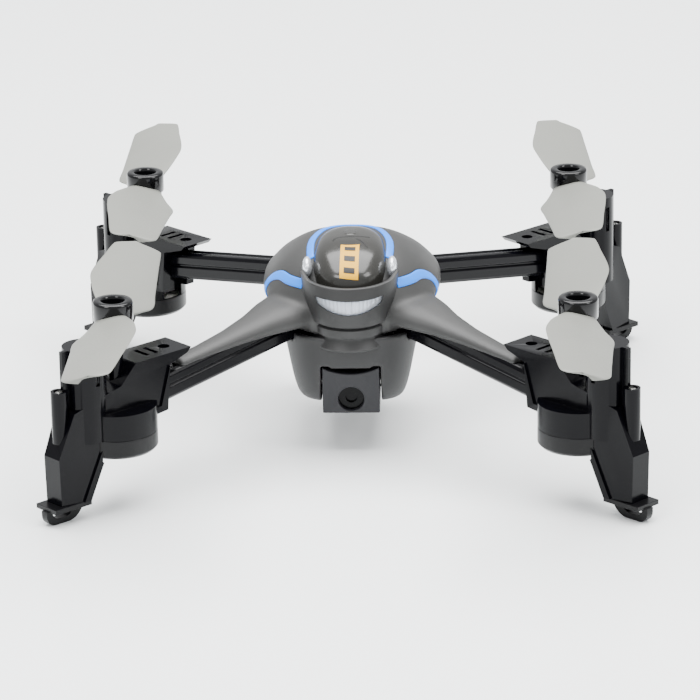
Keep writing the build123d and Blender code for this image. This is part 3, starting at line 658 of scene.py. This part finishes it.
def smile_panel(name, finish, node, inset, thickness, shrink, pleat=0.0):
    """A curved panel that follows the mask's surface, an inset behind it."""
    bm = bmesh.new()
    bmesh.ops.create_grid(bm, x_segments=PANEL_COLUMNS, y_segments=PANEL_ROWS, size=1.0)
    mid_half = (SMILE_TOP_HALF + SMILE_BOTTOM_HALF) / 2
    flare = (SMILE_TOP_HALF - SMILE_BOTTOM_HALF) / 2
    for vertex in bm.verts:
        across, up = vertex.co.x, vertex.co.y
        x = across * (mid_half + flare * up - shrink)
        bottom, top = smile_heights(across, shrink)
        z = bottom + (top - bottom) * (up + 1) / 2
        half_x, half_y = (half - inset for half in through(MASK_BOWL, z))
        column = round((across + 1) / 2 * PANEL_COLUMNS)
        fold = pleat * (column % 4 in (1, 2))
        fold += CENTRE_FOLD * pleat * max(0.0, 1 - abs(across) / CENTRE_SHARE)
        y = MASK_CENTRE_Y - half_y * (1 - (x / half_x) ** 2) ** 0.5 - fold
        vertex.co = Vector((x, y, z)) * MM
    made = wrap_up(name, bm, finish, "airframe", (node,))
    slab = made.modifiers.new("thickness", "SOLIDIFY")
    slab.thickness = thickness * MM
    slab.offset = 0.0
    return made


lamp_window = smile_panel(
    "lamp_window", CLEAR, "headlight_lens", inset=0.75, thickness=0.4, shrink=0.05
)
lamp_pleats = smile_panel(
    "lamp_pleats", REFLECTOR, "headlight_board", inset=1.55, thickness=0.3, shrink=-0.3,
    pleat=0.16,
)
print("lamp window is", round(lamp_window.dimensions.x / MM, 1), "mm wide")
print("reflector pleats:", PANEL_COLUMNS // 4)

# %% [markdown]
# ## Canopy
# The smoked canopy is a glossy dome over the electronics. A squashed sphere has no upright foot and no crest
# set towards the tail, so the dome is a stack of rings instead. They lie close together near the top, because
# a glossy dome shows every flat in its reflections.

# %% Canopy dome
# height, half width, half length, in mm
CANOPY = (
    (42.0, 9.65, 14.7),
    (44.5, 9.6, 14.4),
    (47.0, 9.5, 13.8),
    (49.2, 9.0, 12.7),
    (51.0, 8.0, 11.1),
    (52.2, 6.4, 8.8),
    (52.9, 4.2, 5.8),
    (53.2, 1.4, 2.0),
)
CANOPY_FOOT_Z, CANOPY_TOP_Z = 42.0, 53.2
CANOPY_CENTRE_Y = -9.5
CANOPY_POWER = 2.35
CANOPY_STEPS = 48
CREST_FROM_Z, CREST_BACK = 47.0, 4.2


def canopy_centre(z):
    """Middle of the ring at a height: the crest of the dome lies further back than its foot."""
    share = max(0.0, (z - CREST_FROM_Z) / (CANOPY_TOP_Z - CREST_FROM_Z))
    return CANOPY_CENTRE_Y + CREST_BACK * share**1.5


def make_canopy():
    bm = bmesh.new()
    rings = []
    for k in range(CANOPY_STEPS + 1):
        z = CANOPY_FOOT_Z + (CANOPY_TOP_Z - CANOPY_FOOT_Z) * sin(pi / 2 * k / CANOPY_STEPS)
        half_x, half_y = through(CANOPY, min(z, CANOPY_TOP_Z - 0.01))
        centre = canopy_centre(z)
        rings.append(squircle(half_x, centre - half_y, centre + half_y, z, CANOPY_POWER))
    ring_loft(bm, rings)
    return wrap_up("smoked_canopy", bm, SMOKE, "airframe", ("canopy",))


canopy = make_canopy()
print("canopy spans", [round(v / MM, 1) for v in canopy.dimensions], "mm")

# %% [markdown]
# ## Stripes
# The blue bands are painted trims that follow the body exactly. A texture could paint them, but then their
# raised edge would be lost. So a guide line near the surface is dropped onto the real mesh, and a ribbon is
# grown along it with its own small thickness and a soft edge. The dark seam beside each stripe is the same
# ribbon, a little wider and set lower.

# %% Ribbon laid on a surface
# share of the width, share of the lift
BAND_CROWN = ((-0.5, 0.5), (-0.44, 0.9), (-0.25, 1.0), (0.0, 1.0), (0.25, 1.0), (0.44, 0.9), (0.5, 0.5))
BAND_ROOT = -0.5


def surface_of(made):
    return BVHTree.FromObject(made, bpy.context.evaluated_depsgraph_get())


def smooth_path(points, steps):
    """Evenly spaced points on a Catmull-Rom curve through guide points."""
    table = [(float(k), *p) for k, p in enumerate(points)]
    last = len(points) - 1
    return [Vector(through(table, last * k / steps)) for k in range(steps + 1)]


def ribbon(bm, tree, guide, width, lift, steps=48, shift=0.0):
    """Grow a rounded band along a guide line, in mm, dropped onto a surface."""
    section = [(-0.5, BAND_ROOT), *((share, lift * rise) for share, rise in BAND_CROWN), (0.5, BAND_ROOT)]
    spots = [tree.find_nearest(p * MM)[:2] for p in smooth_path(guide, steps)]
    rings = []
    for k, (spot, normal) in enumerate(spots):
        ahead = spots[min(k + 1, steps)][0] - spots[max(k - 1, 0)][0]
        side = normal.cross(ahead).normalized()
        wide = width(k / steps) if callable(width) else width
        ring = []
        for share, height in section:
            near, out = tree.find_nearest(spot + side * (wide * share + shift) * MM)[:2]
            ring.append(near + out * height * MM)
        rings.append(ring)
    ring_loft(bm, rings)


shell_surface = surface_of(upper_shell)
print("top of the shell:", round(shell_surface.find_nearest((0, 0, 0.1))[0].z / MM, 1), "mm")

# %% Blue stripes and their seams
FRONT_STRIPE = (
    (11.6, -17.0, 43.6),
    (13.2, -15.8, 43.6),
    (15.4, -13.4, 43.6),
    (17.6, -9.6, 43.6),
    (19.8, -6.4, 42.0),
    (21.3, -5.4, 39.8),
    (22.2, -5.4, 37.4),
    (21.6, -6.4, 35.0),
)
ARC_HALF = (
    (10.8, -13.6, 51.0),
    (10.8, -9.0, 52.0),
    (9.9, -2.5, 52.6),
    (7.4, 2.8, 52.8),
    (3.9, 5.4, 52.8),
)
ARC_BACK = (0.0, 6.0, 52.8)
STRIPE_WIDTH, STRIPE_TIP, STRIPE_LIFT = 2.5, 0.6, 0.28
ARC_WIDTH = 1.9
SEAM_EXTRA, SEAM_LIFT, SEAM_SHIFT = 0.35, 0.06, 0.12


def mirrored(points):
    return [(-x, y, z) for x, y, z in points]


def stripe_width(share):
    """Full over the shoulder, narrowing to a tip along the last quarter of the stripe."""
    narrowing = max(0.0, (share - 0.75) / 0.25)
    return STRIPE_WIDTH - (STRIPE_WIDTH - STRIPE_TIP) * narrowing


def seam_width(share):
    return stripe_width(share) + SEAM_EXTRA


stripes = bmesh.new()
ribbon(stripes, shell_surface, FRONT_STRIPE, stripe_width, STRIPE_LIFT)
ribbon(stripes, shell_surface, mirrored(FRONT_STRIPE), stripe_width, STRIPE_LIFT)
wrap_up("blue_stripes_front", stripes, BLUE, "airframe", ("trim_front",))

arc = bmesh.new()
rear_arc = (*ARC_HALF, ARC_BACK, *reversed(mirrored(ARC_HALF)))
ribbon(arc, shell_surface, rear_arc, ARC_WIDTH, STRIPE_LIFT, steps=96)
wrap_up("blue_arc_rear", arc, BLUE, "airframe", ("trim_rear",))

seams = bmesh.new()
ribbon(seams, shell_surface, FRONT_STRIPE, seam_width, SEAM_LIFT, shift=SEAM_SHIFT)
ribbon(seams, shell_surface, mirrored(FRONT_STRIPE), seam_width, SEAM_LIFT, shift=-SEAM_SHIFT)
wrap_up("stripe_seams", seams, INK, "airframe", ())
print("stripes laid, the arc through", len(rear_arc), "points")

# %% [markdown]
# ## Prints on the canopy
# A slanted label runs up the dome's nose, with plain bars in place of writing and two thin strokes beside it.
# A flat plate would stand off a dome, so a small grid is pressed onto the real surface point by point, and
# lifted by less than the thickness of paper.

# %% Prints on the canopy
LABEL_LEFT, LABEL_WIDTH, LABEL_SLANT = -2.3, 4.6, 0.2
LABEL_FOOT_Z, LABEL_RISE, LABEL_DROP = 47.0, 5.5, 0.5
LABEL_LIFT, BAR_LIFT, STROKE_LIFT = 0.05, 0.10, 0.05
BAR_STARTS, BAR_HEIGHT = (0.14, 0.42, 0.70), 0.13
LONG_STROKE = ((-4.4, -11.0, 54), (-3.4, -9.4, 54), (0.0, -8.8, 54), (5.2, -8.4, 54))
SHORT_STROKE = ((1.8, -10.2, 54), (3.2, -12.0, 54), (4.8, -14.6, 54))


def label_spot(across, up):
    """A point of the slanted label: across and up from 0 to 1, on the dome's nose."""
    x = LABEL_LEFT + LABEL_WIDTH * across + LABEL_SLANT * up
    z = LABEL_FOOT_Z - LABEL_DROP * across * (1 - up) + LABEL_RISE * sin(pi / 2 * up)
    half_x, half_y = through(CANOPY, z)
    inside = 1 - abs(x / half_x) ** CANOPY_POWER
    return Vector((x, canopy_centre(z) - half_y * inside ** (1 / CANOPY_POWER), z))


def print_patch(bm, tree, left, right, low, high, lift):
    """A thin print that follows the dome, between two shares across and two shares up the label."""
    for vertex in bmesh.ops.create_grid(bm, x_segments=12, y_segments=24, size=1.0)["verts"]:
        across = left + (right - left) * (vertex.co.x + 1) / 2
        up = low + (high - low) * (vertex.co.y + 1) / 2
        near, out = tree.find_nearest(label_spot(across, up) * MM)[:2]
        vertex.co = near + out * lift * MM


canopy_surface = surface_of(canopy)
label = bmesh.new()
print_patch(label, canopy_surface, 0.0, 1.0, 0.0, 1.0, LABEL_LIFT)
wrap_up("canopy_label", label, YELLOW, "airframe", ())

bars = bmesh.new()
for start in BAR_STARTS:
    print_patch(bars, canopy_surface, 0.22, 0.80, start, start + BAR_HEIGHT, BAR_LIFT)
wrap_up("label_bars", bars, INK, "airframe", ())

strokes = bmesh.new()
ribbon(strokes, canopy_surface, LONG_STROKE, 0.42, STROKE_LIFT)
ribbon(strokes, canopy_surface, SHORT_STROKE, 0.4, STROKE_LIFT)
wrap_up("canopy_strokes", strokes, INK, "airframe", ())
print("prints laid:", 1 + len(BAR_STARTS), "patches and 2 strokes")

# %% [markdown]
# ## Side reflectors
# A small pale pad fills the corner between the canopy and each end of the mask's rim. It could be lofted, but
# only a sliver of it shows, so a sphere pressed into a leaf shape is enough.

# %% Side reflectors
PAD_X, PAD_Y, PAD_Z = 10.5, -15.0, 47.3
PAD_PRESS = (1.25, 3.0, 2.6)

pads = bmesh.new()
for side in (-1, 1):
    place = Matrix.Translation(Vector((side * PAD_X, PAD_Y, PAD_Z)) * MM)
    press = Matrix.Diagonal((*PAD_PRESS, 1.0))
    bmesh.ops.create_uvsphere(pads, u_segments=32, v_segments=20, radius=MM, matrix=place @ press)
wrap_up("side_reflectors", pads, REFLECTOR, "airframe", ())
print("side reflectors sit", 2 * PAD_X, "mm apart")

# %% [markdown]
# ## Lower shell
# The belly must keep the exact openings of the CAD part: the camera bay, the battery tunnel and the arm
# sockets. Lofting it again would risk them. So a copy of that part is skinned with fine voxels and softened a
# little, which rounds its edges as moulding does.

# %% Lower shell
MERGE_GAP = 2e-6


def merged_copy(node):
    """A bmesh of a CAD node with its loose triangles joined."""
    bm = bmesh.new()
    bm.from_mesh(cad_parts[node].data)
    bmesh.ops.remove_doubles(bm, verts=bm.verts, dist=MERGE_GAP)
    return bm


belly = merged_copy("lower_shell")
lower_shell = wrap_up(
    "lower_moulding", belly, LOWER, "airframe", ("lower_shell",), recalc=False
)
melt(lower_shell, voxel=0.4, softness=0.5, passes=4)
print("lower shell:", len(lower_shell.data.polygons), "faces")

# %% [markdown]
# ## Arms
# Each arm is a glossy beam with long grooves. The grooves could be cut with rods, but they would end roughly
# at the pod. One section outline that carries the grooves is lofted from the body to the pod instead, so they
# run true along the whole length.

# %% Arms
# half of the section, from the top middle round the side to the bottom middle: sideways, up, in mm
ARM_SECTION = (
    (0.0, 3.15),
    (0.75, 3.15),
    (1.05, 3.5),
    (1.7, 3.5),
    (2.5, 3.25),
    (2.9, 2.5),
    (2.9, 0.75),
    (2.5, 0.45),
    (2.5, 0.05),
    (2.9, -0.25),
    (2.9, -2.5),
    (2.3, -3.4),
    (0.0, -3.5),
)
# height of the beam's middle at the body and at the pod
ARM_HEIGHTS = {"front": (33.0, 26.0), "rear": (36.8, 28.4)}
ARM_ROOT_S, ARM_END_S = -57.9, -8.0
ARM_STEPS = 12


def whole_section(half):
    """A closed section from its right half, without repeating the two middle points."""
    return [*half, *((-w, z) for w, z in half[-2:0:-1])]


def make_arm(corner):
    root_z, end_z = ARM_HEIGHTS[corner.split("_")[0]]
    rings = []
    for k in range(ARM_STEPS + 1):
        share = k / ARM_STEPS
        s = ARM_ROOT_S + (ARM_END_S - ARM_ROOT_S) * share
        mid = root_z + (end_z - root_z) * share
        rings.append([corner_point(corner, s, w, mid + z) for w, z in whole_section(ARM_SECTION)])
    bm = bmesh.new()
    ring_loft(bm, rings)
    made = wrap_up(f"beam_{corner}", bm, GLOSS, "airframe", (f"arm_{corner}",))
    round_edges(made, 0.18, angle=18.0)


for c in CORNERS:
    make_arm(c)
print("arms are", ARM_END_S - ARM_ROOT_S, "mm long")

# %% [markdown]
# ## Propellers
# A blade's section changes all along its length: steep and thick at the root, wide in the middle, flat at the
# tip. A twisted plate would miss that, so few stations are stated and a smooth curve gives forty more. The
# tip's corners are rounded by narrowing the last sections, and both blades leave one sleeve. Neighbouring
# propellers turn opposite ways, so their blades are mirror images.

# %% Sections of a blade
# radius, back edge and its height, front edge and its height, thickness, in mm
BLADE = (
    (3.6, -3.9, -0.7, 4.1, 1.1, 1.5),
    (9.0, -5.4, -1.8, 6.4, 2.2, 1.1),
    (14.0, -7.0, -2.5, 8.1, 3.0, 0.9),
    (22.0, -6.0, -1.9, 9.8, 3.6, 0.8),
    (38.0, -3.9, -0.3, 9.5, 3.3, 0.7),
    (48.0, -2.6, 0.5, 9.1, 3.0, 0.6),
    (49.9, -1.9, 0.7, 8.2, 2.7, 0.5),
)
BLADE_Z = 47.6
BLADE_CROWN = 0.5
ROOT_R, OUTER_R, TIP_R = 3.6, 46.0, 50.0
ROUND_FROM_R = 46.4
SECTION_STEPS = 14


def blade_ring(hub, along, ahead, r):
    """Section of a blade at a radius: over the top from back to front, then back underneath."""
    back, back_z, front, front_z, thick = through(BLADE, min(r, TIP_R - 0.2))
    tip = max(0.0, (r - ROUND_FROM_R) / (TIP_R - ROUND_FROM_R))
    keep = (1 - min(tip, 0.999) ** 4) ** 0.25
    mid = (back + front) / 2
    top_side = [(k, 1) for k in range(SECTION_STEPS + 1)]
    underside = [(k, -1) for k in range(SECTION_STEPS - 1, 0, -1)]
    points = []
    for k, face in top_side + underside:
        share = 0.5 - 0.5 * cos(pi * k / SECTION_STEPS)
        hump = 4 * share * (1 - share)
        c = mid + (back + (front - back) * share - mid) * keep
        z = back_z + (front_z - back_z) * share + BLADE_CROWN * hump
        half = thick / 2 * (hump + 0.02) ** 0.4
        points.append(hub + (along * r + ahead * c) * MM + Vector((0, 0, BLADE_Z + z + face * half)) * MM)
    return points


def blade_radii():
    """Even steps along the blade, then closer and closer ones towards the tip."""
    radii = [ROOT_R + (OUTER_R - ROOT_R) * k / 30 for k in range(31)]
    return radii + [OUTER_R + (TIP_R - OUTER_R) * sin(pi / 2 * k / 12) for k in range(1, 13)]


print("sections in a blade:", len(blade_radii()))

# %% Blades and their sleeve
SPIN = {"front_right": -1, "front_left": 1, "rear_left": -1, "rear_right": 1}
# how far each pair of blades is turned from fore and aft at rest, in degrees
LEAN = {"front_right": 4.5, "front_left": -6.7, "rear_left": 4.5, "rear_right": -2.0}
# radius and height, in mm
SLEEVE = ((0.8, 45.4), (4.0, 45.4), (4.2, 45.6), (4.2, 49.2), (4.0, 49.4), (0.8, 49.4), (0.8, 45.4))


def turned(bm, profile, centre, steps=48):
    """Spin a profile of (radius, height) points, in mm, about an upright axis."""
    verts = [bm.verts.new(centre + Vector((r * MM, 0, z * MM))) for r, z in profile]
    edges = [bm.edges.new(pair) for pair in zip(verts, verts[1:])]
    bmesh.ops.spin(
        bm,
        geom=verts + edges,
        cent=centre,
        axis=(0, 0, 1),
        angle=2 * pi,
        steps=steps,
        use_merge=True,
        use_duplicate=False,
    )
    bmesh.ops.remove_doubles(bm, verts=bm.verts, dist=1e-7)


def make_blades(corner):
    bm = bmesh.new()
    for half_turn in (0.0, 180.0):
        turn = radians(90.0 + LEAN[corner] + half_turn)
        along = Vector((cos(turn), sin(turn), 0.0))
        ahead = Vector((-along.y, along.x, 0.0)) * SPIN[corner]
        ring_loft(bm, [blade_ring(HUB[corner], along, ahead, r) for r in blade_radii()])
    turned(bm, SLEEVE, HUB[corner])
    body = f"propeller_{corner}"
    return wrap_up(f"blades_{corner}", bm, BLADE_GRAY, body, (f"prop_{corner}",))


print("sleeve is", round(SLEEVE[4][1] - SLEEVE[0][1], 1), "mm tall")

# %% Hub rings, and the four propellers
# radius and height, in mm: up the outside, over the lip, down the well and back
HUB_RING = (
    (4.25, 46.7),
    (4.45, 46.6),
    (4.7, 46.65),
    (4.85, 46.9),
    (4.85, 51.1),
    (4.75, 51.5),
    (4.45, 51.75),
    (3.3, 51.8),
    (2.95, 51.7),
    (2.8, 51.45),
    (2.7, 51.0),
    (2.7, 49.7),
    (2.5, 49.5),
    (1.4, 49.5),
    (1.3, 50.1),
    (0.8, 50.1),
    (0.8, 49.45),
    (4.25, 49.45),
    (4.25, 46.7),
)


def make_hub_ring(corner):
    bm = bmesh.new()
    turned(bm, HUB_RING, HUB[corner])
    body = f"propeller_{corner}"
    made = wrap_up(f"hub_ring_{corner}", bm, HUB_BLACK, body, (f"hub_cap_{corner}",))
    made.data.set_sharp_from_angle(angle=radians(40))
    return made


for c in CORNERS:
    blades = make_blades(c)
    hub_ring = make_hub_ring(c)
    print(blades.name, "span", round(blades.dimensions.length / MM), "mm corner to corner")
print("a hub ring has", len(hub_ring.data.polygons), "faces")

# %% [markdown]
# ## Pods, caps and feet
# These parts are plate-like mouldings whose CAD shape already says everything, including real bores and
# slots, so making them again would gain nothing. They need only what a mould gives them: rounded edges that
# catch a thin line of light. The gears, shafts and motors keep their CAD shape and only get a finish.

# %% Pods, gear caps, feet and drive parts
def bevelled_copy(node, name, finish, body, width):
    """A merged copy of a CAD node with its edges rounded."""
    bm = merged_copy(node)
    bmesh.ops.dissolve_limit(bm, angle_limit=radians(0.5), verts=bm.verts, edges=bm.edges)
    made = wrap_up(name, bm, finish, body, (node,), recalc=False)
    round_edges(made, width)


def give(node, finish):
    """Give a CAD node that keeps its shape its finish."""
    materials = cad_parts[node].data.materials
    materials.clear()
    materials.append(finish)


for c in CORNERS:
    bevelled_copy(f"pod_{c}", f"pod_body_{c}", GLOSS, "airframe", 0.22)
    bevelled_copy(f"gear_cap_{c}", f"gear_cup_{c}", SATIN_BLACK, "airframe", 0.25)
    bevelled_copy(f"foot_{c}", f"foot_loop_{c}", SATIN_BLACK, "airframe", 0.38)
    give(f"prop_shaft_{c}", STEEL)
    give(f"main_gear_{c}", NYLON)
    give(f"pinion_{c}", BRASS)
    give(f"motor_{c}", MOTOR_CAN)
print("pods, caps and feet at", len(CORNERS), "corners")

# %% [markdown]
# ## Camera, battery and small parts
# The camera block tilts and the battery slides, so each piece rides on its own body. Like the pods they are
# simple mouldings, so they are bevelled copies too, with the lens and the tilt pin kept as they are.

# %% Camera, battery and small parts
bevelled_copy("camera_block", "camera_housing", CAMERA_GRAY, "camera", 0.3)
give("camera_lens", GLASS)
give("camera_pin", STEEL)
give("main_board", BOARD)
bevelled_copy("battery", "battery_brick", BATTERY, "battery_pack", 0.2)
bevelled_copy("battery_cap", "battery_door", LOWER, "battery_pack", 0.25)
bevelled_copy("antenna", "aerial_housing", SATIN_BLACK, "airframe", 0.3)
bevelled_copy("power_button", "power_key", HUB_BLACK, "power_switch", 0.3)
print("camera at", [round(v / MM, 1) for v in middle("camera_block")], "mm")

# %% [markdown]
# ## Screws
# The boss on each pod holds a cross-head screw. A plain disc would look like a plug, so its domed head is a
# turned profile, and the cross is cut out with two thin boxes.

# %% Screws
BOSS_S, SCREW_SEAT_Z = 17.3, 31.85
SCREW_TOP = 0.95
# radius and height above the seat, in mm
SCREW_PROFILE = (
    (0.0, -5.3),
    (0.7, -5.0),
    (0.7, 0.0),
    (1.25, 0.0),
    (1.25, 0.45),
    (0.95, 0.8),
    (0.5, 0.93),
    (0.0, SCREW_TOP),
)
SLOT_SIZE = (1.5, 0.34, 1.1)
SLOT_TURNS = (30, 120)


def cross_slot(corner, turn):
    bm = bmesh.new()
    top = Matrix.Translation(corner_point(corner, BOSS_S, 0, SCREW_SEAT_Z + SCREW_TOP))
    aim = Matrix.Rotation(radians(turn), 4, "Z")
    bmesh.ops.create_cube(bm, size=MM, matrix=top @ aim @ Matrix.Diagonal((*SLOT_SIZE, 1.0)))
    return bm


heads = bmesh.new()
slots = []
for c in CORNERS:
    turned(heads, SCREW_PROFILE, corner_point(c, BOSS_S, 0, SCREW_SEAT_Z), steps=40)
    slots += [cross_slot(c, turn) for turn in SLOT_TURNS]
screws = wrap_up("cross_head_screws", heads, STEEL, "airframe", ("pod_screws",))
carve(screws, slots)
screws.data.set_sharp_from_angle(angle=radians(35))
print("screws:", len(CORNERS), "with", len(slots), "slots")

# %% [markdown]
# ## Floor, light and camera
# A product like this is shown on a pale, slightly glossy floor, which gives a soft reflection under it. A few
# small lamps would give hard spots on the black parts. So one broad soft box hangs above, two smaller ones
# stand in front, and a bright surround fills the shadows.

# %% Floor
FLOOR_HALF = 4.0

sheet = bmesh.new()
bmesh.ops.create_grid(sheet, x_segments=1, y_segments=1, size=FLOOR_HALF)
floor = mesh_object("floor", sheet)
floor_finish, floor_shader = plain_finish("studio floor")
floor_shader.inputs["Base Color"].default_value = (0.93, 0.95, 0.95, 1.0)
floor_shader.inputs["Roughness"].default_value = 0.22
floor_shader.inputs["Specular IOR Level"].default_value = 0.35
floor.data.materials.append(floor_finish)
print("floor is", 2 * FLOOR_HALF, "m wide")

# %% Lights
LIT_SPOT = Vector((0.0, 0.0, 0.03))


def soft_box(name, place, size, power):
    """A rectangular lamp, in metres and watts, that faces the drone."""
    lamp = bpy.data.lights.new(name, "AREA")
    lamp.shape = "RECTANGLE"
    lamp.size, lamp.size_y = size
    lamp.energy = power
    made = put_in_scene(name, lamp)
    made.location = place
    made.rotation_mode = "QUATERNION"
    made.rotation_quaternion = (LIT_SPOT - Vector(place)).to_track_quat("-Z", "Y")


soft_box("overhead_box", (0.0, 0.15, 1.2), (1.6, 1.3), 72.0)
soft_box("front_box", (-0.7, -0.9, 0.9), (0.5, 0.5), 9.0)
soft_box("side_box", (0.9, -0.45, 0.7), (0.4, 0.5), 7.0)

world = bpy.data.worlds.new("bright surround")
world.use_nodes = True
surround = world.node_tree.nodes["Background"]
surround.inputs["Color"].default_value = (0.97, 0.985, 1.0, 1.0)
surround.inputs["Strength"].default_value = 1.0
bpy.context.scene.world = world
print(len(bpy.data.lights), "soft boxes")

# %% Camera
# a long lens about a metre away, looking down at the nose
CAMERA_PLACE = (0.0326, -1.0066, 0.3704)
CAMERA_FACING = (-0.0313, 0.9441, -0.3284)
CAMERA_ROLL = -0.018
LENS_LENGTH = 217.06

lens = bpy.data.cameras.new("studio_camera")
lens.lens = LENS_LENGTH
lens.sensor_width = 36.0
lens.clip_start, lens.clip_end = 0.05, 20.0
studio_camera = put_in_scene("studio_camera", lens)
studio_camera.location = CAMERA_PLACE
studio_camera.rotation_mode = "QUATERNION"
level = Vector(CAMERA_FACING).to_track_quat("-Z", "Y")
studio_camera.rotation_quaternion = level @ Matrix.Rotation(CAMERA_ROLL, 3, "Z").to_quaternion()
bpy.context.scene.camera = studio_camera
print("camera is", round(Vector(CAMERA_PLACE).length, 2), "m from the drone")
